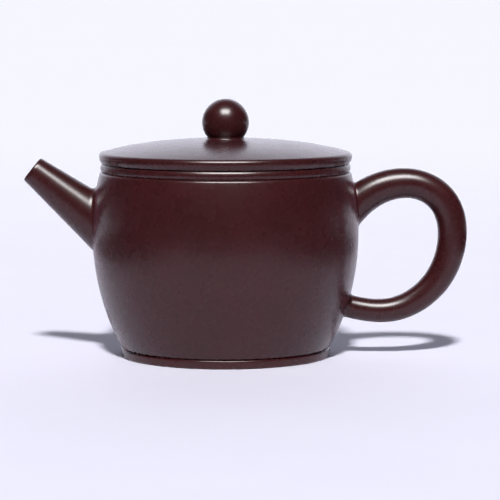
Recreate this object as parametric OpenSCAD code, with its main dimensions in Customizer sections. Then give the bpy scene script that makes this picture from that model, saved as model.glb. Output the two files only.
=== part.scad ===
/*
  Hand-built stoneware teapot of purple clay, about 240 ml.

  The pot stands on the plane z = 0 with its axis on Z. The handle points to +X and the
  spout to -X. All sizes are millimetres. The pot and its lid are two loose pieces, and
  each is luted together from the pieces below.
*/

/* [Body] */
// Widest diameter of the belly
body_d = 83.8; // [72:0.1:110]
// Height of the top of the wall above the table
body_h = 58.1; // [48:0.1:80]
// Height of the widest point
belly_z = 38.8; // [30:0.1:44]
// Radius of the side's curve, seen from the side
side_r = 77; // [60:1:200]
// Thickness of the side wall
wall_t = 3; // [2:0.1:5]
// Thickness of the floor disc
base_t = 3.2; // [2:0.1:5]
// Thickness of the flat disc that closes the top around the mouth
shoulder_t = 3; // [2:0.1:4]
// Rounding of the wall's lower edge
low_edge_r = 1.5; // [0.4:0.1:3]
// Rounding of the wall's upper edge
top_edge_r = 1.0; // [0.3:0.1:1.5]

/* [Foot ring] */
// Height of the ring that the pot stands on
foot_h = 2.8; // [1:0.1:5]
// Width of the ring, seen from below
foot_w = 5.2; // [3:0.1:10]
// How far the ring stands out past the wall's curve
foot_step = 0; // [0:0.1:1.5]
// Rounding of the ring's edges
foot_edge_r = 0.6; // [0.2:0.1:0.9]

/* [Mouth ring] */
// Height of the ring around the mouth
ring_h = 2.6; // [2:0.1:3.6]
// Width of the ring, seen from above
ring_w = 7; // [5:0.1:12]
// How far the ring stands back from the wall's curve
ring_step = 0.15; // [0:0.05:1.5]
// Radius of the ring's bowed outer side
ring_bow = 1.9; // [1.85:0.05:6]
// Rounding of the ring's inner edge
ring_edge_r = 0.5; // [0.2:0.05:1]

/* [Lid] */
// How far the lid stands out past the mouth ring
lid_overhang = 0.45; // [0:0.05:2]
// Radius of the upper part of the lid's round edge
lid_edge_r = 1.35; // [0.6:0.05:2.5]
// Radius of the lower part of the lid's round edge
lid_low_r = 3; // [2.8:0.1:8]
// Height of the edge's widest point above the lid's underside
lid_edge_z = 1.95; // [1.2:0.05:2.7]
// Height of the dome above its edge
lid_rise = 4.05; // [2:0.05:14]
// Shape of the dome: 2 is a round cap, more is flatter in the middle
lid_power = 2.5; // [2:0.1:4]
// Thickness of the dome in the middle
dome_t = 2.4; // [1.6:0.1:4]
// Thickness of the flat ring under the dome
lid_ring_t = 2.2; // [1.6:0.1:2.6]
// Depth of the flange that drops into the mouth
flange_h = 6.5; // [4:0.1:14]
// Thickness of the flange
flange_t = 2.6; // [1.8:0.1:4]
// Clearance all round between the flange and the mouth
lid_fit = 0.3; // [0.15:0.05:0.8]
// Gap under the rim, where the lid sits on its few high spots
lid_gap = 0.35; // [0.1:0.05:0.4]
// Diameter of the steam hole through the knob
vent_d = 1.8; // [1:0.1:3]

/* [Knob] */
// Diameter of the ball
knob_d = 14.7; // [10:0.1:20]
// Diameter of the short neck under the ball
neck_d = 11.4; // [7:0.1:13]
// Height of the neck above the top of the dome
neck_h = 0.7; // [0.3:0.1:4]

/* [Spout] */
// Angle of the spout above the horizontal
spout_rise = 38.4; // [25:0.1:55]
// Distance from the top of the wall down to where the spout's centre line leaves the body
spout_drop = 14.3; // [11:0.1:28]
// Length of the spout along its centre line, from the body to the tip
spout_len = 24.4; // [18:0.1:40]
// Outer diameter of the tip
spout_tip_d = 8.7; // [7:0.1:12]
// Half of the spout's cone angle
spout_taper = 7.5; // [3:0.1:9]
// Thickness of the spout's wall
spout_wall = 1.5; // [1:0.1:2.2]
// Rounding of the tip's edges
tip_edge_r = 0.55; // [0.2:0.05:0.7]

/* [Strainer] */
// Thickness of the strainer's dome
strainer_t = 1.4; // [1:0.1:2.5]
// How much wider the hole in the wall is than the spout's bore, all round
strainer_seat = 0.5; // [0:0.1:1]
// Diameter of each hole
strainer_hole_d = 1.6; // [1.2:0.1:1.8]

/* [Handle] */
// How far the handle's centre line reaches out from the belly
handle_reach = 29.5; // [22:0.1:40]
// Distance from the top of the wall down to the centre line's highest point
handle_drop = 3.4; // [2:0.1:10]
// Height of the centre line's lowest point
handle_low_z = 14.1; // [8:0.1:20]
// Thickness at the top, where it is thickest
handle_top_d = 9.3; // [7:0.1:13]
// Thickness at the bottom, where it is thinnest
handle_low_d = 7.2; // [5:0.1:11]
// How much the upper end swells where it joins the body
handle_swell = 2; // [0:0.1:4]

/* [Hidden] */

CLAY = "#4a2e28";
$fn = 96;
EPS = 0.5; // how far a cutting shape runs past the surface it cuts

// ---- the body's curve --------------------------------------------------------------
body_r = body_d / 2;
spout_z = body_h - spout_drop;
side_cx = body_r - side_r; // the curve's centre, at height belly_z

// Radius of the curve at height z, for a surface that lies `in` under the outside
function side_at(z, in = 0) = side_cx + sqrt(pow(side_r - in, 2) - pow(z - belly_z, 2));

// Points of an arc in the section's plane, from angle a0 to a1
function arc(c, r, a0, a1, n) = [
  for (i = [0 : n])
    let (a = a0 + (a1 - a0) * i / n)
    [c[0] + r * cos(a), c[1] + r * sin(a)]
];

// Centre of an edge rounding of radius r whose centre is at height z
function edge_centre(r, z) = [side_at(z, r), z];

// Angle of a point, seen from the centre of the side's curve
function side_angle(p) = atan2(p[1] - belly_z, p[0] - side_cx);

low_c = edge_centre(low_edge_r, foot_h + low_edge_r);
top_c = edge_centre(top_edge_r, body_h - top_edge_r);

body_outline = concat(
  [[0, foot_h]],
  arc(low_c, low_edge_r, -90, side_angle(low_c), 4),
  arc([side_cx, belly_z], side_r, side_angle(low_c), side_angle(top_c), 24),
  arc(top_c, top_edge_r, side_angle(top_c), 90, 4),
  [[0, body_h]]
);

cavity_outline = concat(
  [[0, foot_h - EPS]],
  arc(
    [side_cx, belly_z], side_r - wall_t,
    asin((foot_h - EPS - belly_z) / (side_r - wall_t)),
    asin((body_h + EPS - belly_z) / (side_r - wall_t)), 24
  ),
  [[0, body_h + EPS]]
);

module body_solid() {
  rotate_extrude() polygon(body_outline);
}

module cavity() {
  rotate_extrude() polygon(cavity_outline);
}

// A flat slab of the cavity between two heights
module cavity_slice(z0, z1) {
  intersection() {
    cavity();
    translate([0, 0, z0]) cylinder(r = body_r, h = z1 - z0);
  }
}

// ---- mouth and lid ---------------------------------------------------------------------
ring_r = side_at(body_h) - ring_step;
mouth_r = ring_r - ring_w;
ring_top = body_h + ring_h;
bow_angle = asin(ring_h / 2 / ring_bow);

lid_r = ring_r + lid_overhang;
lid_z = ring_top + lid_gap; // the lid's underside
flange_r = mouth_r - lid_fit;
flange_in_r = flange_r - flange_t;
flange_bevel = 0.3; // bevel on the flange's lower edges

// The lid's round edge runs from its underside up to where its slope is the dome's
lid_edge_c = [lid_r - lid_edge_r, lid_z + lid_edge_z];
lid_low_c = [lid_r - lid_low_r, lid_edge_c[1]];
lid_low_a = -asin(lid_edge_z / lid_low_r);
lid_high_a = 90 - atan(lid_rise * lid_power / lid_edge_c[0]);
dome_r = lid_edge_c[0] + lid_edge_r * cos(lid_high_a);
dome_edge = lid_edge_c[1] + lid_edge_r * sin(lid_high_a);
dome_top = dome_edge + lid_rise;
dome_low = lid_z + lid_ring_t;
dome_steps = 20;

// Height of the dome's upper side at radius r
function dome_at(r) = dome_top - lid_rise * pow(r / dome_r, lid_power);

neck_r = neck_d / 2;
neck_low_r = neck_r + 0.3;
neck_z = dome_at(neck_low_r); // a flat spot under the neck
neck_top = neck_z + neck_h;
knob_r = knob_d / 2;
knob_z = neck_top + sqrt(knob_r * knob_r - neck_r * neck_r);
vent_r = vent_d / 2;

// ---- spout -------------------------------------------------------------------------------
tip_r = spout_tip_d / 2;
tip_bore_r = tip_r - spout_wall;
// the spout is drawn along its own axis, from inside the body at 0 to the tip at spout_full
spout_in = 10; // length of the axis that is drawn inside the body, and cut away
spout_full = spout_len + spout_in;
root_r = tip_r + spout_full * tan(spout_taper);
bore_root_r = root_r - spout_wall - 0.6; // the wall is a little thicker near the body
spout_root = [-side_at(spout_z), 0, spout_z];

function bore_at(s) = bore_root_r + (tip_bore_r - bore_root_r) * s / spout_full;

// Puts what is drawn along +Z onto the spout's axis, with 0 at the depth spout_in
module on_spout_axis() {
  translate(spout_root)
    rotate([0, spout_rise - 90, 0])
      translate([0, 0, -spout_in])
        children();
}

module spout_bore() {
  on_spout_axis()
    cylinder(r1 = bore_at(0), r2 = bore_at(spout_full + EPS), h = spout_full + EPS);
}

// ---- strainer ------------------------------------------------------------------------------
// A round hole goes straight through the wall behind the spout, and the strainer's skirt
// fits it. Its dome stands into the pot.
strainer_r = bore_at(spout_in) + strainer_seat;
strainer_skirt = wall_t - 0.6; // length of the skirt, which stops short of the spout
dome_x = -side_at(spout_z, wall_t); // the inside of the wall, where the dome starts
strainer_rings = [[0, 1], [30, 6], [60, 10]]; // each [angle off the dome's axis, holes]

// Puts what is drawn along +Z onto the hole's axis, with 0 at the inside of the wall
module on_strainer_axis() {
  translate([dome_x, 0, spout_z])
    rotate([0, 90, 0])
      children();
}

// ---- handle --------------------------------------------------------------------------------
handle_top_z = body_h - handle_drop;

// Control points of the centre line, chosen by hand. x: 0 is the belly and 1 the full reach.
// z: 0 is the lowest height of the centre line and 1 the highest.
handle_shape = [
  [-0.66, 0.12], [-0.14, 0.87], [0.51, 1.05], [0.95, 0.89], [1.04, 0.57],
  [0.90, 0.25], [0.60, 0.05], [0.26, -0.025], [-0.19, 0.04], [-0.65, 0.19]
];
handle_spans = len(handle_shape) - 3;
handle_steps = 6; // rings in each span of the curve
handle_sides = 24;
handle_in = 5; // length of the straight piece that is drawn inside the body, and cut away

function handle_ctrl(i) = [
  body_r + handle_reach * handle_shape[i][0],
  handle_low_z + (handle_top_z - handle_low_z) * handle_shape[i][1]
];

// Smooth curve through the spans of the control points, and its direction
function blend4(p, w) = p[0] * w[0] + p[1] * w[1] + p[2] * w[2] + p[3] * w[3];
function curve_at(i, t) = blend4(
  [for (k = [0 : 3]) handle_ctrl(i + k)],
  [pow(1 - t, 3) / 6, (3 * t * t * t - 6 * t * t + 4) / 6,
   (-3 * t * t * t + 3 * t * t + 3 * t + 1) / 6, t * t * t / 6]
);
function curve_dir(i, t) = blend4(
  [for (k = [0 : 3]) handle_ctrl(i + k)],
  [-pow(1 - t, 2) / 2, (3 * t * t - 4 * t) / 2, (-3 * t * t + 2 * t + 1) / 2, t * t / 2]
);

// Thickness along the handle, u from 0 at the upper end to 1 at the lower end
function ease(u) = u * u * (3 - 2 * u);
function clamp01(u) = min(1, max(0, u));
function handle_d(u) =
  handle_top_d + (handle_low_d - handle_top_d) * ease(clamp01((u - 0.3) / 0.7))
  + handle_swell * pow(clamp01(1 - u / 0.2), 2);

handle_rings = handle_spans * handle_steps;
handle_points = [
  for (n = [-1 : handle_rings])
    let (
      j = max(n, 0),
      i = min(floor(j / handle_steps), handle_spans - 1),
      t = j / handle_steps - i,
      d = curve_dir(i, t) / norm(curve_dir(i, t)),
      c = curve_at(i, t) - (n < 0 ? handle_in : 0) * d,
      out = [d[1], -d[0]],
      r = handle_d(j / handle_rings) / 2
    )
    for (k = [0 : handle_sides - 1])
      let (a = 360 * k / handle_sides)
      [c[0] + r * cos(a) * out[0], r * sin(a), c[1] + r * cos(a) * out[1]]
];
handle_faces = concat(
  [[for (k = [0 : handle_sides - 1]) k]],
  [
    for (j = [0 : handle_rings], k = [0 : handle_sides - 1])
      let (
        a = j * handle_sides + k,
        b = j * handle_sides + (k + 1) % handle_sides
      )
      [a, a + handle_sides, b + handle_sides, b]
  ],
  [[for (k = [handle_sides - 1 : -1 : 0]) (handle_rings + 1) * handle_sides + k]]
);

// ---- the pieces of the pot -----------------------------------------------------------------
module body_wall() {
  color(CLAY)
    difference() {
      body_solid();
      cavity();
      on_strainer_axis()
        translate([0, 0, -wall_t - 1])
          cylinder(r = strainer_r, h = wall_t + 3);
    }
}

module base_disc() {
  color(CLAY) cavity_slice(foot_h, foot_h + base_t);
}

module shoulder_disc() {
  color(CLAY)
    difference() {
      cavity_slice(body_h - shoulder_t, body_h);
      translate([0, 0, body_h - shoulder_t - EPS])
        cylinder(r = mouth_r, h = shoulder_t + 2 * EPS);
    }
}

module foot_ring() {
  r = side_at(foot_h) + foot_step;
  e = foot_edge_r;
  color(CLAY)
    rotate_extrude()
      polygon(concat(
        [[r - foot_w, foot_h], [r - foot_w, e]],
        arc([r - foot_w + e, e], e, 180, 270, 5),
        arc([r - e, e], e, -90, 0, 5),
        arc([r - e, foot_h - e], e, 0, 90, 5)
      ));
}

module mouth_ring() {
  color(CLAY)
    rotate_extrude()
      polygon(concat(
        [[mouth_r, body_h]],
        arc([ring_r - ring_bow, body_h + ring_h / 2], ring_bow, -bow_angle, bow_angle, 8),
        arc([mouth_r + ring_edge_r, ring_top - ring_edge_r], ring_edge_r, 90, 180, 5)
      ));
}

module spout() {
  color(CLAY)
    difference() {
      on_spout_axis()
        rotate_extrude()
          polygon(concat(
            [[0, 0], [root_r, 0]],
            arc([tip_r - tip_edge_r, spout_full - tip_edge_r], tip_edge_r, 0, 90, 5),
            [[0, spout_full]]
          ));
      body_solid();
      spout_bore();
    }
}

module spout_strainer() {
  in_r = strainer_r - strainer_t;
  color(CLAY)
    on_strainer_axis()
      difference() {
        rotate_extrude()
          polygon(concat(
            [[in_r, -strainer_skirt], [strainer_r, -strainer_skirt]],
            arc([0, 0], strainer_r, 0, 90, 9),
            arc([0, 0], in_r, 90, 0, 9)
          ));
        for (ring = strainer_rings, k = [0 : ring[1] - 1])
          rotate([0, ring[0], 360 * (k + 0.5) / ring[1]])
            translate([0, 0, in_r - EPS])
              cylinder(d = strainer_hole_d, h = strainer_t + 2 * EPS, $fn = 24);
      }
}

module handle() {
  color(CLAY)
    difference() {
      polyhedron(handle_points, handle_faces);
      body_solid();
    }
}

// ---- the pieces of the lid -----------------------------------------------------------------
module vent(z0, z1) {
  translate([0, 0, z0]) cylinder(r = vent_r, h = z1 - z0, $fn = 32);
}

module lid_flange() {
  low = lid_z - flange_h;
  b = flange_bevel;
  color(CLAY)
    rotate_extrude()
      polygon([
        [flange_in_r, low + b], [flange_in_r + b, low],
        [flange_r - b, low], [flange_r, low + b],
        [flange_r, lid_z], [flange_in_r, lid_z]
      ]);
}

// Flat ring that rests on the mouth ring; its round edge carries on the dome's curve
module lid_rim() {
  color(CLAY)
    rotate_extrude()
      polygon(concat(
        [[flange_in_r, dome_low], [flange_in_r, lid_z]],
        arc(lid_low_c, lid_low_r, lid_low_a, 0, 6),
        arc(lid_edge_c, lid_edge_r, lid_high_a / 8, lid_high_a, 7),
        [[dome_r, dome_low]]
      ));
}

module lid_dome() {
  color(CLAY)
    rotate_extrude()
      polygon(concat(
        [[flange_in_r, dome_low], [dome_r, dome_low]],
        [
          for (i = [0 : dome_steps])
            let (r = dome_r + (neck_low_r - dome_r) * i / dome_steps)
            [r, dome_at(r)]
        ],
        [[vent_r, neck_z], [vent_r, dome_top - dome_t]],
        [
          for (i = [0 : dome_steps / 2])
            let (r = neck_r + (flange_in_r - neck_r) * i / (dome_steps / 2))
            [r, dome_at(r) - dome_t]
        ]
      ));
}

module knob_neck() {
  color(CLAY)
    difference() {
      translate([0, 0, neck_z]) cylinder(r1 = neck_low_r, r2 = neck_r, h = neck_h);
      vent(neck_z - EPS, neck_top + EPS);
    }
}

module knob() {
  color(CLAY)
    difference() {
      translate([0, 0, knob_z]) sphere(r = knob_r);
      translate([0, 0, neck_top - knob_r]) cylinder(r = knob_r, h = knob_r);
      vent(neck_top - EPS, knob_z + knob_r + EPS);
    }
}

body_wall();
base_disc();
shoulder_disc();
foot_ring();
mouth_ring();
spout();
spout_strainer();
handle();
lid_flange();
lid_rim();
lid_dome();
knob_neck();
knob();
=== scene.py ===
"""A hand-built yixing teapot of purple clay, dressed around its CAD frame.

The turned pieces (pot, lid and knob) are drawn as outlines and spun. The spout and the
handle are rolled from sheets of clay and luted to the wall with a smear of slip. All
sizes are in metres; mm() turns the maker's millimetres into metres.
"""

import math

import bpy
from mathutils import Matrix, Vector


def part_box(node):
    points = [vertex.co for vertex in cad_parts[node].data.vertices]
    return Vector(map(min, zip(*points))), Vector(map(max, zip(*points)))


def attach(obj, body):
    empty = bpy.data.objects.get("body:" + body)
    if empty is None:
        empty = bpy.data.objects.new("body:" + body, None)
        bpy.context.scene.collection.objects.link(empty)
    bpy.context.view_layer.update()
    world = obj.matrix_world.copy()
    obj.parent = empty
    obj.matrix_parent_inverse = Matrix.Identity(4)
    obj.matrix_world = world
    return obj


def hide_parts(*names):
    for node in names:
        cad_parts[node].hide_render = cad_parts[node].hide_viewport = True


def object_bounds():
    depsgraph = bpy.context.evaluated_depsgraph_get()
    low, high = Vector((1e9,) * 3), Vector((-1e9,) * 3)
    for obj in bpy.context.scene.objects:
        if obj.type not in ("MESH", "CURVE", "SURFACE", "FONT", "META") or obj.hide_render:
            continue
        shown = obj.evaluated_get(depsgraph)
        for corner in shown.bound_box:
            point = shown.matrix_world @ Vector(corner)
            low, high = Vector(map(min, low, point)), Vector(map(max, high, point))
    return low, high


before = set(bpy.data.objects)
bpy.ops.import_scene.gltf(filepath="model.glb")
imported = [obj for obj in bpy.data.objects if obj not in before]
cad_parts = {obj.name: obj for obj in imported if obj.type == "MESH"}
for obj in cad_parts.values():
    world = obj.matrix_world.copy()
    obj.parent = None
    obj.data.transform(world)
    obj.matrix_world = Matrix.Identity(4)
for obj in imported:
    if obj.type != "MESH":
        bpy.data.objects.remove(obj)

bl_info = {
    "name": "Yixing teapot",
    "version": (1, 0, 0),
    "blender": (4, 5, 0),
    "location": "3D View > Sidebar > Teapot",
    "description": "Models a purple clay teapot around its CAD frame",
    "category": "Object",
}


def mm(value):
    return value * 0.001


# ---- places taken from the CAD frame --------------------------------------------------------
CAD_LOW, CAD_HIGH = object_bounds()
BODY_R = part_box("body_wall")[1].x
WALL_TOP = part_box("body_wall")[1].z
FOOT_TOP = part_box("foot_ring")[1].z
FOOT_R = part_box("foot_ring")[1].x
RING_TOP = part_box("mouth_ring")[1].z
RING_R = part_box("mouth_ring")[1].x
FLOOR_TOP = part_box("base_disc")[1].z
SHOULDER_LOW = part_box("shoulder_disc")[0].z
FLANGE_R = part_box("lid_flange")[1].x
LID_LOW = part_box("lid_rim")[0].z
LID_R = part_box("lid_rim")[1].x
EDGE_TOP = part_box("lid_rim")[1].z
DOME_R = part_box("lid_dome")[1].x
NECK_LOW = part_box("knob_neck")[0].z
NECK_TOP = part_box("knob_neck")[1].z
NECK_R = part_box("knob_neck")[1].x
KNOB_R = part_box("knob")[1].x
KNOB_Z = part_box("knob")[1].z - KNOB_R
STRAINER_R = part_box("spout_strainer")[1].y
MIDDLE_Z = (CAD_LOW.z + CAD_HIGH.z) / 2

# ---- how finely the clay is drawn -----------------------------------------------------------
MERGE = mm(0.002)  # points closer than this become one
SUNK = mm(0.4)  # how deep a smear's hidden edge lies under the wall's surface


# ---- sizes and colours that a user may change -----------------------------------------------
def length(name, description, default_mm, low=0.0, high=500.0):
    return bpy.props.FloatProperty(
        name=name,
        description=description,
        default=mm(default_mm),
        min=mm(low),
        max=mm(high),
        unit="LENGTH",
        precision=5,
    )


def colour(name, description, code):
    return bpy.props.StringProperty(name=name, description=description, default=code)


class PotSizes(bpy.types.PropertyGroup):
    """Sizes of the pot's own shape."""

    side_r: length("Side curve", "Radius of the wall's curve, seen from the side", 77)
    belly_z: length("Belly height", "Height of the widest point", 38.8)
    wall_t: length("Wall", "Thickness of the wall", 3)
    low_edge_r: length("Lower edge", "Rounding above the foot ring", 1.5)
    top_edge_r: length("Upper edge", "Rounding below the mouth ring", 1.0)
    foot_w: length("Foot width", "Width of the foot ring", 5.2)
    foot_edge_r: length("Foot edge", "Rounding of the foot ring", 0.6)
    ring_w: length("Mouth ring width", "Width of the mouth ring", 7)
    ring_bow: length("Mouth ring bow", "Radius of the ring's bowed side", 1.9)
    ring_edge_r: length("Mouth edge", "Rounding of the mouth's inner edge", 0.5)
    cavity_r: length("Inner corner", "Rounding inside, where wall and floor meet", 3)


class LidSizes(bpy.types.PropertyGroup):
    """Sizes of the lid and its knob."""

    edge_r: length("Edge, upper part", "Radius of the edge above its widest point", 1.35)
    low_r: length("Edge, lower part", "Radius of the edge below its widest point", 3)
    edge_z: length("Edge height", "Height of the widest point above the underside", 1.95)
    dome_t: length("Dome", "Thickness of the dome", 2.4)
    flange_t: length("Flange", "Thickness of the flange under the lid", 2.6)
    dome_power: bpy.props.FloatProperty(
        name="Dome shape",
        description="2 is a round cap, more is flatter in the middle",
        default=2.5,
        min=2,
        max=5,
    )
    vent_r: length("Steam hole", "Radius of the hole through the knob", 0.9)
    neck_edge_r: length("Neck edge", "Rounding of the neck's upper edge", 0.15)
    neck_flare: length("Neck flare", "Slip smeared round the foot of the neck", 0.5)


class SpoutSizes(bpy.types.PropertyGroup):
    """Sizes of the spout."""

    rise: bpy.props.FloatProperty(
        name="Rise",
        description="Angle of the spout above the horizontal",
        default=math.radians(38.4),
        subtype="ANGLE",
    )
    root_z: length("Root height", "Height at which the spout leaves the wall", 43.8)
    length: length("Length", "From the wall to the tip along the middle", 24.4)
    tip_r: length("Tip", "Outer radius of the tip", 4.35)
    taper: bpy.props.FloatProperty(
        name="Taper",
        description="Half of the cone's angle",
        default=math.radians(7.5),
        subtype="ANGLE",
    )
    wall_t: length("Wall", "Thickness at the tip", 1.5)
    tip_edge_r: length("Tip edge", "Rounding of the tip's edges", 0.55)
    slip_top: length("Slip above", "Width of the slip smeared above the root", 2.6)
    slip_low: length("Slip below", "Width of the slip smeared below the root", 0.5)


class HandleSizes(bpy.types.PropertyGroup):
    """Sizes of the handle."""

    reach: length("Reach", "From the belly out to the middle of the handle", 29.5)
    top_z: length("Top", "Height of the highest point of the middle line", 54.7)
    low_z: length("Bottom", "Height of the lowest point of the middle line", 14.1)
    top_d: length("Thickness above", "Thickness at the top", 9.3)
    low_d: length("Thickness below", "Thickness at the bottom", 7.2)
    swell: length("Swell", "How much the upper end swells inside the wall", 2)
    slip: length("Slip", "Width of the slip smeared round the roots", 1.2)


class ClayColours(bpy.types.PropertyGroup):
    """Colours of the fired clay."""

    body: colour("Clay", "Burnished outside", "#391416")
    deep: colour("Deep clay", "Darker cloud in the burnished clay", "#341213")
    bare: colour("Bare clay", "Unburnished clay of the strainer and flange", "#4C2420")
    bloom: colour("Bloom", "Purple bloom on the skin, seen at a flat angle", "#FFB4D8")


class StageSizes(bpy.types.PropertyGroup):
    """Table, backdrop, lamps and camera."""

    table: colour("Table", "Board under the pot", "#EDEBFB")
    # the far table's paler colour is painted light: the brighter light that falls far behind the
    # pot
    far: colour("Far table", "Board far from the pot", "#F2F2FC")
    sky: colour("Room light", "Colour of the light from the room", "#EEF0FF")
    seen: colour("Room", "Colour of the room where it is seen", "#F8F9FE")
    room: bpy.props.FloatProperty(
        name="Wall light", description="Brightness of the wall behind the pot", default=1.75
    )
    room_dim: bpy.props.FloatProperty(
        name="Dim light", description="Brightness of the rest of the room", default=0.03
    )
    wall_half: bpy.props.FloatProperty(
        name="Wall's half width", description="Where the wall's light begins to fade", default=0.3
    )
    wall_end: bpy.props.FloatProperty(
        name="Wall's end", description="Where the wall's light has faded out", default=0.85
    )
    key: bpy.props.FloatProperty(
        name="Key light", description="Strength of the lamp in W/m2", default=3.62
    )
    key_rise: bpy.props.FloatProperty(
        name="Key height",
        description="Angle of the lamp above the horizontal",
        default=math.radians(49),
        subtype="ANGLE",
    )
    sheen_rise: bpy.props.FloatProperty(
        name="Soft box height",
        description="Angle above the horizontal of the soft box that shines on the clay",
        default=math.radians(57),
        subtype="ANGLE",
    )
    sheen: bpy.props.FloatProperty(
        name="Soft box", description="Power of the soft box", default=208, unit="POWER"
    )
    key_spread: bpy.props.FloatProperty(
        name="Key spread",
        description="How wide the lamp looks from the pot",
        default=math.radians(6),
        subtype="ANGLE",
    )
    card_y: length("Front card", "Distance of the black card in front of the pot", 240, high=2000)
    card_x: length("Side cards", "Distance of the black cards beside the pot", 170, high=2000)
    card_back: length("Side cards' end", "How far they reach behind the pot", 280, high=2000)
    camera_x: length("Camera side", "Sideways place of the camera", 7.7)
    camera_y: length("Camera distance", "Distance in front of the pot", 800, high=5000)
    camera_z: length("Camera height", "Height of the camera", 115.5)
    pitch: bpy.props.FloatProperty(
        name="Pitch",
        description="How far the camera looks down",
        default=math.radians(5.87),
        subtype="ANGLE",
    )
    lens: bpy.props.FloatProperty(name="Lens", description="Focal length in mm", default=183.5)


# ---- bench work: helpers for the modelling --------------------------------------------------
def arc(centre, radius, start, end, count):
    """Points of an arc in the outline's plane, angles in degrees."""
    turns = [math.radians(start + (end - start) * i / count) for i in range(count + 1)]
    return [(centre[0] + radius * math.cos(a), centre[1] + radius * math.sin(a)) for a in turns]


def side_at(z, inside=0.0):
    """Radius of the wall's curve at height z, or of a surface that lies inside it."""
    s = bpy.context.scene.pot_sizes
    centre = BODY_R - s.side_r
    return centre + math.sqrt((s.side_r - inside) ** 2 - (z - s.belly_z) ** 2)


def clear_bench():
    if bpy.context.object and bpy.context.object.mode != "OBJECT":
        bpy.ops.object.mode_set(mode="OBJECT")
    bpy.ops.object.select_all(action="DESELECT")


def turn_on_wheel(name, outline, closed, steps=256):
    """Draws an outline by extruding one point, and spins it round the pot's axis."""
    clear_bench()
    bpy.ops.mesh.primitive_plane_add(size=mm(1), location=(outline[0][0], 0, outline[0][1]))
    piece = bpy.context.object
    piece.name = piece.data.name = name
    bpy.ops.object.transform_apply(location=True, rotation=True, scale=True)
    bpy.ops.object.mode_set(mode="EDIT")
    bpy.ops.mesh.merge(type="CENTER")
    for (r0, z0), (r1, z1) in zip(outline, outline[1:] + (outline[:1] if closed else [])):
        bpy.ops.mesh.extrude_region_move(TRANSFORM_OT_translate={"value": (r1 - r0, 0, z1 - z0)})
    bpy.ops.mesh.select_all(action="SELECT")
    bpy.ops.mesh.spin(steps=steps, angle=math.tau, center=(0, 0, 0), axis=(0, 0, 1))
    close_up()
    return piece


def roll_sheet(name, rings):
    """Lays a sheet of clay over rings of points, joins its edges and closes its ends."""
    clear_bench()
    bpy.ops.mesh.primitive_grid_add(
        x_subdivisions=len(rings[0]), y_subdivisions=len(rings) - 1, size=mm(10)
    )
    piece = bpy.context.object
    piece.name = piece.data.name = name
    places = [p for ring in rings for p in [*ring, ring[0]]]
    for vertex, place in zip(piece.data.vertices, places, strict=True):
        vertex.co = place
    bpy.ops.object.mode_set(mode="EDIT")
    close_up()
    return piece


def close_up():
    """Joins seams, closes open ends and turns the faces outwards. Leaves edit mode."""
    bpy.ops.mesh.select_all(action="SELECT")
    bpy.ops.mesh.remove_doubles(threshold=MERGE)
    bpy.ops.mesh.select_all(action="DESELECT")
    bpy.ops.mesh.select_non_manifold(extend=False)
    if bpy.context.object.data.total_edge_sel:
        bpy.ops.mesh.edge_face_add()
    bpy.ops.mesh.select_all(action="SELECT")
    bpy.ops.mesh.normals_make_consistent(inside=False)
    bpy.ops.object.mode_set(mode="OBJECT")


def smooth(piece, degrees=38):
    clear_bench()
    piece.select_set(True)
    bpy.context.view_layer.objects.active = piece
    bpy.ops.object.shade_smooth_by_angle(angle=math.radians(degrees))


def fire(piece, body, finish, slot, *nodes):
    """Finishes a piece: its clay, the body it rides on and the CAD nodes it stands for."""
    piece.data.materials.clear()
    piece.data.materials.append(finish)
    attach(piece, body)
    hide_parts(*nodes)


# ---- luting: a rolled tube joined to the wall -----------------------------------------------
def in_wall(p):
    return math.hypot(p.x, p.y) < side_at(p.z)


def on_wall(p, sunk=0.0):
    """The point of the wall's outside level with p, or a little below that surface."""
    r = side_at(p.z) - sunk
    return Vector((p.x, p.y, 0)).normalized() * r + Vector((0, 0, p.z))


def wall_normal(p):
    s = bpy.context.scene.pot_sizes
    out = Vector((p.x, p.y, 0)).normalized()
    across = math.hypot(p.x, p.y) - BODY_R + s.side_r
    return (out * across + Vector((0, 0, p.z - s.belly_z))).normalized()


def meeting_point(line):
    """Index and share along a line of points at which it runs into the wall."""
    for i, (a, b) in enumerate(zip(line, line[1:])):
        if not in_wall(a) and in_wall(b):
            low, high = 0.0, 1.0
            for _ in range(30):
                mid = (low + high) / 2
                low, high = (low, mid) if in_wall(a.lerp(b, mid)) else (mid, high)
            return i, low
    raise ValueError("the line never reaches the wall")


def walk(line, distances):
    """Points at the given distances along a line of points."""
    marks = [0.0]
    for a, b in zip(line, line[1:]):
        marks.append(marks[-1] + (b - a).length)
    found, i = [], 0
    for d in distances:
        while i < len(line) - 2 and marks[i + 1] < d:
            i += 1
        found.append(line[i].lerp(line[i + 1], (d - marks[i]) / (marks[i + 1] - marks[i])))
    return found


def run_to_wall(line):
    """Cuts a line of points where it meets the wall, and gives its length too."""
    i, share = meeting_point(line)
    cut = line[: i + 1] + [line[i].lerp(line[i + 1], share)]
    return cut, sum((b - a).length for a, b in zip(cut, cut[1:]))


def slip(line, width, middle, count=8):
    """The smear of slip that leads from the end of a line out over the wall."""
    contact = line[-1]
    start = walk(line[::-1], [width])[0]
    normal = wall_normal(contact)
    away = contact - middle
    away = (away - normal * away.dot(normal)).normalized()
    end = on_wall(contact + away * width, mm(0.03))
    smear = []
    for k in range(1, count + 1):
        t = k / count
        smear.append(start * (1 - t) ** 2 + contact * 2 * t * (1 - t) + end * t * t)
    below = on_wall(contact + away * (width + mm(0.3)), SUNK)
    return smear + [below]


# ---- clay and table: materials --------------------------------------------------------------
def linear(code):
    """An sRGB hex colour as linear RGBA."""
    parts = [int(code.lstrip("#")[i : i + 2], 16) / 255 for i in (0, 2, 4)]
    return [*(c / 12.92 if c <= 0.04045 else ((c + 0.055) / 1.055) ** 2.4 for c in parts), 1]


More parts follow.
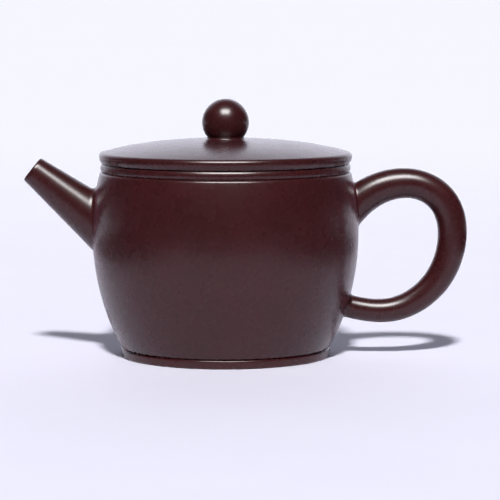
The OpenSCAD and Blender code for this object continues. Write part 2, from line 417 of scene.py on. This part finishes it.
def add_node(tree, kind, settings=None, sockets=None, links=None):
    """Adds a node, with its settings, socket values and incoming links."""
    node = tree.nodes.new(kind)
    for name, value in (settings or {}).items():
        setattr(node, name, value)
    for name, value in (sockets or {}).items():
        node.inputs[name].default_value = value
    for name, source in (links or {}).items():
        tree.links.new(source, node.inputs[name])
    return node


def new_finish(name):
    finish = bpy.data.materials.new(name)
    finish.use_nodes = True
    finish.node_tree.nodes.clear()
    return finish, finish.node_tree


def ramp(tree, source, stops):
    node = add_node(tree, "ShaderNodeValToRGB", links={"Fac": source})
    for element, (place, value) in zip(node.color_ramp.elements, stops):
        element.position, element.color = place, value
    return node


def burnished_clay(colours):
    """Purple clay pressed smooth with a horn blade before firing: a satin skin, with fine
    grains of sand and slow clouds of colour showing through."""
    finish, tree = new_finish("burnished_purple_clay")
    place = add_node(tree, "ShaderNodeTexCoord").outputs["Object"]
    # clouds about 14 mm wide from the kiln's uneven fire
    clouds = add_node(
        tree, "ShaderNodeTexNoise", sockets={"Scale": 70, "Detail": 3, "Roughness": 0.55},
        links={"Vector": place},
    )
    clays = [(0.36, linear(colours.deep)), (0.66, linear(colours.body))]
    tone = ramp(tree, clouds.outputs["Fac"], clays)
    # grains of sand about 0.5 mm apart
    grains = add_node(
        tree, "ShaderNodeTexNoise", sockets={"Scale": 2000, "Detail": 2, "Roughness": 0.6},
        links={"Vector": place},
    )
    # faint marks left by the blade, a few millimetres long
    strokes = add_node(
        tree, "ShaderNodeTexNoise", sockets={"Scale": 260, "Detail": 2, "Roughness": 0.5},
        links={"Vector": place},
    )
    skin = add_node(
        tree, "ShaderNodeMapRange",
        sockets={"From Min": 0.3, "From Max": 0.7, "To Min": 0.26, "To Max": 0.29},
        links={"Value": strokes.outputs["Fac"]},
    )
    sand = add_node(
        tree, "ShaderNodeBump", sockets={"Strength": 0.008, "Distance": mm(0.02)},
        links={"Height": grains.outputs["Fac"]},
    )
    marks = add_node(
        tree, "ShaderNodeBump", sockets={"Strength": 0.012, "Distance": mm(0.1)},
        links={"Height": strokes.outputs["Fac"], "Normal": sand.outputs["Normal"]},
    )
    shader = add_node(
        tree, "ShaderNodeBsdfPrincipled",
        # the purple bloom that fired iron clay shows where it is seen along its skin
        sockets={
            "IOR": 1.46,
            "Sheen Weight": 0.05,
            "Sheen Roughness": 0.4,
            "Sheen Tint": linear(colours.bloom),
        },
        links={
            "Base Color": tone.outputs["Color"],
            "Roughness": skin.outputs["Result"],
            "Normal": marks.outputs["Normal"],
        },
    )
    add_node(tree, "ShaderNodeOutputMaterial", links={"Surface": shader.outputs["BSDF"]})
    return finish


def bare_clay(colours):
    """The same clay left as the rib scraped it, on the strainer and the lid's flange."""
    finish, tree = new_finish("scraped_purple_clay")
    place = add_node(tree, "ShaderNodeTexCoord").outputs["Object"]
    grains = add_node(
        tree, "ShaderNodeTexNoise", sockets={"Scale": 1400, "Detail": 3, "Roughness": 0.65},
        links={"Vector": place},
    )
    clays = [(0.3, linear(colours.deep)), (0.7, linear(colours.bare))]
    tone = ramp(tree, grains.outputs["Fac"], clays)
    skin = add_node(
        tree, "ShaderNodeMapRange",
        sockets={"From Min": 0.3, "From Max": 0.7, "To Min": 0.55, "To Max": 0.72},
        links={"Value": grains.outputs["Fac"]},
    )
    sand = add_node(
        tree, "ShaderNodeBump", sockets={"Strength": 0.35, "Distance": mm(0.05)},
        links={"Height": grains.outputs["Fac"]},
    )
    shader = add_node(
        tree, "ShaderNodeBsdfPrincipled", sockets={"IOR": 1.5},
        links={
            "Base Color": tone.outputs["Color"],
            "Roughness": skin.outputs["Result"],
            "Normal": sand.outputs["Normal"],
        },
    )
    add_node(tree, "ShaderNodeOutputMaterial", links={"Surface": shader.outputs["BSDF"]})
    return finish


def table_sheet(sizes):
    """A pale painted board: matt, with a faint drift, and a little paler far from the pot; that
    paleness is painted light, the brighter light far behind it.
    """
    finish, tree = new_finish("pale_painted_board")
    place = add_node(tree, "ShaderNodeTexCoord").outputs["Object"]
    far = add_node(
        tree, "ShaderNodeVectorMath", {"operation": "LENGTH"}, links={"Vector": place}
    ).outputs["Value"]
    # the board turns paler away from the pot: painted light for the brighter far end of the set
    reach = add_node(
        tree, "ShaderNodeMapRange", {"interpolation_type": "SMOOTHSTEP"},
        {"From Min": 0.1, "From Max": 1.2}, {"Value": far},
    )
    # patches of paint about 60 mm long
    drift = add_node(
        tree, "ShaderNodeTexNoise", sockets={"Scale": 16, "Detail": 6, "Roughness": 0.6},
        links={"Vector": place},
    )
    near = linear(sizes.table)
    worn = [c * 0.985 for c in near[:3]] + [1]
    tone = ramp(tree, drift.outputs["Fac"], [(0.35, worn), (0.65, near)])
    paint = add_node(
        tree, "ShaderNodeMix", {"data_type": "RGBA"},
        links={"Factor": reach.outputs["Result"], "A": tone.outputs["Color"]},
    )
    paint.inputs["B"].default_value = linear(sizes.far)
    shader = add_node(
        tree, "ShaderNodeBsdfPrincipled", sockets={"Roughness": 0.8, "IOR": 1.3},
        links={"Base Color": paint.outputs["Result"]},
    )
    add_node(tree, "ShaderNodeOutputMaterial", links={"Surface": shader.outputs["BSDF"]})
    return finish


def black_card():
    """Dull black card that swallows the light."""
    finish, tree = new_finish("black_card")
    shader = add_node(
        tree, "ShaderNodeBsdfDiffuse", sockets={"Color": (0.01, 0.01, 0.012, 1)}
    )
    add_node(tree, "ShaderNodeOutputMaterial", links={"Surface": shader.outputs["BSDF"]})
    return finish


def pale_room(sizes):
    """A room with one pale lit wall behind the pot, and little light from the other sides."""
    world = bpy.data.worlds.new("pale_room")
    world.use_nodes = True
    tree = world.node_tree
    tree.nodes.clear()
    way = add_node(
        tree, "ShaderNodeSeparateXYZ",
        links={"Vector": add_node(tree, "ShaderNodeTexCoord").outputs["Generated"]},
    )
    behind = add_node(
        tree, "ShaderNodeMapRange", {"interpolation_type": "SMOOTHSTEP"},
        {"From Min": 0.1, "From Max": 0.5}, {"Value": way.outputs["Y"]},
    )
    aside = add_node(
        tree, "ShaderNodeMath", {"operation": "ABSOLUTE"}, links={0: way.outputs["X"]}
    )
    width = add_node(
        tree, "ShaderNodeMapRange", {"interpolation_type": "SMOOTHSTEP"},
        {"From Min": sizes.wall_end, "From Max": sizes.wall_half},
        {"Value": aside.outputs["Value"]},
    )
    low = add_node(
        tree, "ShaderNodeMapRange", {"interpolation_type": "SMOOTHSTEP"},
        {"From Min": 0.9, "From Max": 0.35}, {"Value": way.outputs["Z"]},
    )
    field = add_node(
        tree, "ShaderNodeMath", {"operation": "MULTIPLY"},
        links={0: behind.outputs["Result"], 1: low.outputs["Result"]},
    )
    wall = add_node(
        tree, "ShaderNodeMath", {"operation": "MULTIPLY"},
        links={0: field.outputs["Value"], 1: width.outputs["Result"]},
    )
    level = add_node(
        tree, "ShaderNodeMapRange", sockets={"To Min": sizes.room_dim, "To Max": sizes.room},
        links={"Value": wall.outputs["Value"]},
    )
    light = add_node(
        tree, "ShaderNodeBackground", sockets={"Color": linear(sizes.sky)},
        links={"Strength": level.outputs["Result"]},
    )
    seen = add_node(tree, "ShaderNodeBackground", sockets={"Color": linear(sizes.seen)})
    both = add_node(
        tree, "ShaderNodeMixShader",
        links={
            0: add_node(tree, "ShaderNodeLightPath").outputs["Is Camera Ray"],
            1: light.outputs["Background"],
            2: seen.outputs["Background"],
        },
    )
    add_node(tree, "ShaderNodeOutputWorld", links={"Surface": both.outputs["Shader"]})
    return world


# ---- the pieces -----------------------------------------------------------------------------
class TEAPOT_OT_body(bpy.types.Operator):
    """Turns the pot: foot ring, wall, shoulder and mouth ring in one shell"""

    bl_idname = "teapot.body"
    bl_label = "Pot"

    def execute(self, context):
        s = context.scene.pot_sizes
        centre = BODY_R - s.side_r

        def edge(r, z):
            """Centre of an edge rounding, and its angle seen from the side's centre."""
            c = (side_at(z, r), z)
            return c, math.degrees(math.atan2(z - s.belly_z, c[0] - centre))

        low_c, low_a = edge(s.low_edge_r, FOOT_TOP + s.low_edge_r)
        top_c, top_a = edge(s.top_edge_r, WALL_TOP - s.top_edge_r)
        foot_in, e = FOOT_R - s.foot_w, s.foot_edge_r
        f = mm(0.8)  # fillet between the foot ring and the floor, underneath
        u = mm(1)  # fillet between the shoulder and the wall, inside
        mouth_r = RING_R - s.ring_w
        bow_z = (WALL_TOP + RING_TOP) / 2
        bow_a = math.degrees(math.asin((RING_TOP - WALL_TOP) / 2 / s.ring_bow))
        m, c, inner = s.ring_edge_r, s.cavity_r, s.wall_t
        low_z = FLOOR_TOP + c
        corner_r = side_at(low_z, inner + c)
        corner_a = math.degrees(math.atan2(low_z - s.belly_z, corner_r - centre))
        under_z = SHOULDER_LOW - u
        under_r = side_at(under_z, inner + u)
        under_a = math.degrees(math.atan2(under_z - s.belly_z, under_r - centre))
        outline = [
            (0, FOOT_TOP),
            *arc((foot_in - f, FOOT_TOP - f), f, 90, 0, 6),
            *arc((foot_in + e, e), e, 180, 270, 6),
            *arc((FOOT_R - e, e), e, -90, 0, 8),
            *arc((FOOT_R - e, FOOT_TOP - e), e, 0, 90, 8),
            *arc(low_c, s.low_edge_r, -90, low_a, 12),
            *arc((centre, s.belly_z), s.side_r, low_a, top_a, 60)[1:],
            *arc(top_c, s.top_edge_r, top_a, 90, 8)[1:],
            *arc((RING_R - s.ring_bow, bow_z), s.ring_bow, -bow_a, bow_a, 16),
            *arc((mouth_r + m, RING_TOP - m), m, 90, 180, 8),
            *arc((mouth_r + m, SHOULDER_LOW + m), m, 180, 270, 6),
            *arc((under_r, under_z), u, 90, under_a, 6),
            *arc((centre, s.belly_z), s.side_r - inner, under_a, corner_a, 40)[1:],
            *arc((corner_r, low_z), c, corner_a, -90, 8)[1:],
            (0, FLOOR_TOP),
        ]
        pot = turn_on_wheel("pot_shell", outline, closed=False)
        # the round hole in the wall behind the spout, which holds the strainer
        clear_bench()
        bpy.ops.mesh.primitive_cylinder_add(
            vertices=96, radius=STRAINER_R, depth=mm(12),
            location=(-BODY_R, 0, context.scene.spout_sizes.root_z),
            rotation=(0, math.pi / 2, 0),
        )
        drill = context.object
        clear_bench()
        context.view_layer.objects.active = pot
        hole = pot.modifiers.new("strainer_hole", "BOOLEAN")
        hole.operation, hole.object, hole.solver = "DIFFERENCE", drill, "EXACT"
        bpy.ops.object.modifier_apply(modifier=hole.name)
        bpy.data.objects.remove(drill)
        smooth(pot)
        fire(
            pot, "pot", bpy.data.materials["burnished_purple_clay"], "clay",
            "body_wall", "base_disc", "shoulder_disc", "foot_ring", "mouth_ring",
        )
        return {"FINISHED"}


class TEAPOT_OT_spout(bpy.types.Operator):
    """Rolls the spout and lutes it to the wall"""

    bl_idname = "teapot.spout"
    bl_label = "Spout"

    def execute(self, context):
        s = context.scene.spout_sizes
        sides = 72
        mark = mm(0.25)  # spacing of the points along a flank
        inner_part = mm(10)  # the bore's cone is measured on to this depth inside the wall
        thicker = mm(0.6)  # how much the wall gains on its way down to that depth
        past = mm(1)  # how far the open bore runs on inside the pot's wall
        root = Vector((-side_at(s.root_z), 0, s.root_z))
        axis = Vector((-math.cos(s.rise), 0, math.sin(s.rise)))
        up = Vector((math.sin(s.rise), 0, math.cos(s.rise)))
        side = Vector((0, 1, 0))
        tip = root + axis * s.length
        bore_tip = s.tip_r - s.wall_t
        bore_root = s.tip_r + (s.length + inner_part) * math.tan(s.taper) - s.wall_t - thicker
        e = s.tip_edge_r

        def ring_point(k, back, r):
            a = math.tau * k / sides
            return tip - axis * back + (up * math.cos(a) + side * math.sin(a)) * r

        lines = []
        for k in range(sides):
            # 1 above the spout, 0 below it
            above = (1 + math.cos(math.tau * k / sides)) / 2
            width = s.slip_low + (s.slip_top - s.slip_low) * above ** 1.5
            backs = [e + i * mark for i in range(240)]
            outer = [ring_point(k, back, s.tip_r + back * math.tan(s.taper)) for back in backs]
            outer, run = run_to_wall(outer)
            flank = walk(outer, [(run - width) * i / 40 for i in range(41)])
            middle = root + axis * (outer[-1] - root).dot(axis)
            smear = slip(outer, width, middle)
            lip_arc = arc((e, s.tip_r - e), e, 180, 90, 6)[:-1]
            mouth_arc = arc((e, bore_tip + e), e, 270, 180, 6)[:-1]
            rim = [ring_point(k, back, r) for back, r in mouth_arc + lip_arc]
            bore = []
            for i in range(12, -1, -1):
                back = e + (s.length + past - e) * i / 12
                r = bore_tip + (bore_root - bore_tip) * back / (s.length + inner_part)
                bore.append(ring_point(k, back, r))
            lines.append(bore + rim + flank + smear)
        piece = roll_sheet("spout_tube", [list(ring) for ring in zip(*lines)])
        smooth(piece, 50)
        fire(piece, "pot", bpy.data.materials["burnished_purple_clay"], "clay", "spout")
        return {"FINISHED"}


class TEAPOT_OT_handle(bpy.types.Operator):
    """Rolls the handle and lutes both its ends to the wall"""

    bl_idname = "teapot.handle"
    bl_label = "Handle"

    # control points of the middle line; across: 0 is the belly, 1 the full reach;
    # up: 0 is the lowest height of the middle line and 1 the highest
    SHAPE = (
        (-0.66, 0.12), (-0.14, 0.87), (0.51, 1.05), (0.95, 0.89), (1.04, 0.57),
        (0.90, 0.25), (0.60, 0.05), (0.26, -0.025), (-0.19, 0.04), (-0.65, 0.19),
    )

    def execute(self, context):
        s = context.scene.handle_sizes
        sides, spans, fine = 48, len(self.SHAPE) - 3, 80
        ctrl = [
            Vector((BODY_R + s.reach * x, 0, s.low_z + (s.top_z - s.low_z) * z))
            for x, z in self.SHAPE
        ]

        def middle(u):
            i = min(int(u * spans), spans - 1)
            t = u * spans - i
            w = ((1 - t) ** 3, 3 * t**3 - 6 * t**2 + 4, -3 * t**3 + 3 * t**2 + 3 * t + 1, t**3)
            return sum((p * k / 6 for p, k in zip(ctrl[i : i + 4], w)), Vector())

        def thickness(u):
            v = min(1, max(0, (u - 0.3) / 0.7))
            swell = s.swell * max(0, 1 - u / 0.2) ** 2
            return s.top_d + (s.low_d - s.top_d) * v * v * (3 - 2 * v) + swell

        count = spans * fine
        us = [i / count for i in range(count + 1)]
        centres = [middle(u) for u in us]
        # a straight piece, 5 mm long, that runs on into the wall
        inwards = (centres[0] - centres[1]).normalized()
        extra = 10
        centres = [centres[0] + inwards * mm(5 - i * 0.5) for i in range(extra)] + centres
        us = [0] * extra + us
        count += extra

        def nearest(p):
            return min(centres, key=lambda c: (c - p).length)

        lines = []
        for k in range(sides):
            a = math.tau * k / sides
            line = []
            for i, u in enumerate(us):
                d = (centres[min(i + 1, count)] - centres[max(i - 1, 0)]).normalized()
                around = Vector((d.z * math.cos(a), math.sin(a), -d.x * math.cos(a)))
                line.append(centres[i] + around * thickness(u) / 2)
            half = len(line) // 2
            low, _ = run_to_wall(line[half:])
            top, _ = run_to_wall(line[half::-1])
            whole = top[::-1] + low[1:]
            run = sum((q - p).length for p, q in zip(whole, whole[1:]))
            shaft = walk(whole, [s.slip + (run - 2 * s.slip) * i / 160 for i in range(161)])
            smear_top = slip(top, s.slip, nearest(top[-1]))
            smear_low = slip(low, s.slip, nearest(low[-1]))
            lines.append(smear_top[::-1] + shaft + smear_low)
        piece = roll_sheet("handle_loop", [list(ring) for ring in zip(*lines)])
        smooth(piece, 50)
        fire(piece, "pot", bpy.data.materials["burnished_purple_clay"], "clay", "handle")
        return {"FINISHED"}


class TEAPOT_OT_lid(bpy.types.Operator):
    """Turns the lid and the knob with its steam hole"""

    bl_idname = "teapot.lid"
    bl_label = "Lid and knob"

    def execute(self, context):
        s = context.scene.lid_sizes
        clay = bpy.data.materials["burnished_purple_clay"]
        edge_c = (LID_R - s.edge_r, LID_LOW + s.edge_z)
        low_c = (LID_R - s.low_r, edge_c[1])
        low_a = -math.degrees(math.asin(s.edge_z / s.low_r))
        high_a = math.degrees(math.asin((EDGE_TOP - edge_c[1]) / s.edge_r))
        flat = (NECK_R / DOME_R) ** s.dome_power
        rise = (NECK_LOW - EDGE_TOP) / (1 - flat)

        def dome_at(r):
            return EDGE_TOP + rise * (1 - (r / DOME_R) ** s.dome_power)

        inner_r = FLANGE_R - s.flange_t
        hole_edge = mm(0.3)  # the dome's outline stops this far from the steam hole
        bevel_w, bevel_h = mm(1), mm(0.6)  # bevel between the dome and the flange, inside
        top = [(DOME_R * (1 - i / 60), dome_at(DOME_R * (1 - i / 60))) for i in range(1, 60)]
        top = [(r, z) for r, z in top if r > s.vent_r + hole_edge]
        under_r = [s.vent_r + (inner_r - bevel_w - s.vent_r) * i / 24 for i in range(25)]
        under = [(r, dome_at(r) - s.dome_t) for r in under_r]
        outline = [
            (inner_r, LID_LOW),
            *arc(low_c, s.low_r, low_a, 0, 12),
            *arc(edge_c, s.edge_r, 0, high_a, 14)[1:],
            *top,
            (s.vent_r, dome_at(0)),
            *under,
            (inner_r, dome_at(inner_r) - s.dome_t - bevel_h),
        ]
        lid = turn_on_wheel("lid_cover", outline, closed=True)
        smooth(lid)
        fire(lid, "lid", clay, "lid_clay", "lid_rim", "lid_dome")

        e, w = s.neck_edge_r, s.neck_flare
        sunk = mm(0.15)  # how far the flare dips into the dome, and the neck stands back
        neck_r = NECK_R - sunk
        join_r = math.sqrt(KNOB_R**2 - (KNOB_Z - NECK_TOP) ** 2)
        join_a = math.degrees(math.atan2(NECK_TOP - KNOB_Z, join_r))
        v = mm(0.25)  # rounding of the steam hole's edge
        top_a = math.degrees(math.acos((s.vent_r + v) / KNOB_R))
        top_z = KNOB_Z + KNOB_R * math.sin(math.radians(top_a))
        outline = [
            (s.vent_r, NECK_LOW - mm(0.3)),
            (neck_r + w, dome_at(neck_r + w) - sunk),
            *arc((neck_r + w, NECK_LOW + w - mm(0.02)), w, 270, 180, 8),
            *arc((neck_r - e, NECK_TOP - e), e, 0, 90, 5),
            *arc((0, KNOB_Z), KNOB_R, join_a, top_a, 64),
            *arc((s.vent_r + v, top_z - v), v, 90, 180, 5),
        ]
        knob = turn_on_wheel("knob_ball", outline, closed=True, steps=128)
        smooth(knob)
        fire(knob, "lid", clay, "lid_clay", "knob_neck", "knob")
        return {"FINISHED"}


class TEAPOT_OT_inner(bpy.types.Operator):
    """Gives the strainer and the flange under the lid their scraped clay"""

    bl_idname = "teapot.inner"
    bl_label = "Strainer and flange"

    def execute(self, context):
        clay = bpy.data.materials["scraped_purple_clay"]
        for name in ("spout_strainer", "lid_flange"):
            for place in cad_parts[name].material_slots:
                place.material = clay
        return {"FINISHED"}


class TEAPOT_OT_clay(bpy.types.Operator):
    """Mixes the clays"""

    bl_idname = "teapot.clay"
    bl_label = "Clays"

    def execute(self, context):
        burnished_clay(context.scene.clay_colours)
        bare_clay(context.scene.clay_colours)
        return {"FINISHED"}


class TEAPOT_OT_stage(bpy.types.Operator):
    """Sets up the pale table, the room's light, the lamp and the camera"""

    bl_idname = "teapot.stage"
    bl_label = "Stage"

    def execute(self, context):
        s = context.scene.stage_sizes
        clear_bench()
        bpy.ops.mesh.primitive_plane_add(size=80)
        table = context.object
        table.name = table.data.name = "table_sheet"
        table.data.materials.append(table_sheet(s))
        context.scene.world = pale_room(s)

        # black cards lie on the table in front of the pot and on both its sides, and are
        # seen only in the clay's reflections
        card_finish, lift = black_card(), mm(1)
        side_y = s.card_back + s.card_y
        for name, place, size in (
            ("black_card_front", (0, -s.card_y - 2), (8, 4)),
            ("black_card_left", (-s.card_x - 2, s.card_back - side_y / 2), (4, side_y)),
            ("black_card_right", (s.card_x + 2, s.card_back - side_y / 2), (4, side_y)),
        ):
            clear_bench()
            bpy.ops.mesh.primitive_plane_add(size=1)
            card = context.object
            card.name = card.data.name = name
            card.scale = (*size, 1)
            card.location = (*place, lift)
            bpy.ops.object.transform_apply(location=True, rotation=True, scale=True)
            card.data.materials.append(card_finish)
            card.visible_camera = card.visible_diffuse = card.visible_shadow = False

        def hang(name, kind, rise, distance, **settings):
            """Hangs a lamp in front of the pot, turned to its middle."""
            lamp = bpy.data.lights.new(name, kind)
            for setting, value in settings.items():
                setattr(lamp, setting, value)
            stand = bpy.data.objects.new(name, lamp)
            context.scene.collection.objects.link(stand)
            away = Vector((0, -math.cos(rise), math.sin(rise)))
            stand.location = Vector((0, 0, MIDDLE_Z)) + away * distance
            stand.rotation_euler = away.to_track_quat("Z", "Y").to_euler()
            return stand

        # the key lamp lights the table evenly and throws the shadows; the wide soft box
        # beside it is what shines on the burnished clay
        key = hang("key_lamp", "SUN", s.key_rise, 3, energy=s.key, angle=s.key_spread)
        key.visible_glossy = False
        box = hang(
            "soft_box", "AREA", s.sheen_rise, 3,
            shape="RECTANGLE", size=1.85, size_y=1.2, energy=s.sheen,
        )
        box.visible_diffuse = False

        camera = bpy.data.cameras.new("camera")
        camera.lens, camera.sensor_width = s.lens, 36
        camera.clip_start, camera.clip_end = 0.05, 200
        eye = bpy.data.objects.new("camera", camera)
        context.scene.collection.objects.link(eye)
        eye.location = (s.camera_x, -s.camera_y, s.camera_z)
        eye.rotation_euler = (math.pi / 2 - s.pitch, 0, 0)
        context.scene.camera = eye
        context.scene.view_settings.view_transform = "Standard"
        return {"FINISHED"}


class TEAPOT_PT_panel(bpy.types.Panel):
    """Lists the teapot's pieces and sizes"""

    bl_idname = "TEAPOT_PT_panel"
    bl_label = "Yixing teapot"
    bl_space_type = "VIEW_3D"
    bl_region_type = "UI"
    bl_category = "Teapot"

    def draw(self, context):
        for operator in OPERATORS:
            self.layout.operator(operator.bl_idname)
        for group, kind in GROUPS.items():
            box = self.layout.box()
            box.label(text=kind.__doc__)
            for name in kind.__annotations__:
                box.prop(getattr(context.scene, group), name)


GROUPS = {
    "pot_sizes": PotSizes,
    "lid_sizes": LidSizes,
    "spout_sizes": SpoutSizes,
    "handle_sizes": HandleSizes,
    "clay_colours": ClayColours,
    "stage_sizes": StageSizes,
}
OPERATORS = (
    TEAPOT_OT_stage,
    TEAPOT_OT_clay,
    TEAPOT_OT_body,
    TEAPOT_OT_spout,
    TEAPOT_OT_handle,
    TEAPOT_OT_lid,
    TEAPOT_OT_inner,
)
CLASSES = (*GROUPS.values(), *OPERATORS, TEAPOT_PT_panel)


def register():
    for kind in CLASSES:
        bpy.utils.register_class(kind)
    for name, kind in GROUPS.items():
        setattr(bpy.types.Scene, name, bpy.props.PointerProperty(type=kind))


def unregister():
    for name in GROUPS:
        delattr(bpy.types.Scene, name)
    for kind in reversed(CLASSES):
        bpy.utils.unregister_class(kind)


def main():
    register()
    for operator in OPERATORS:
        group, name = operator.bl_idname.split(".")
        getattr(getattr(bpy.ops, group), name)()


if __name__ == "__main__":
    main()
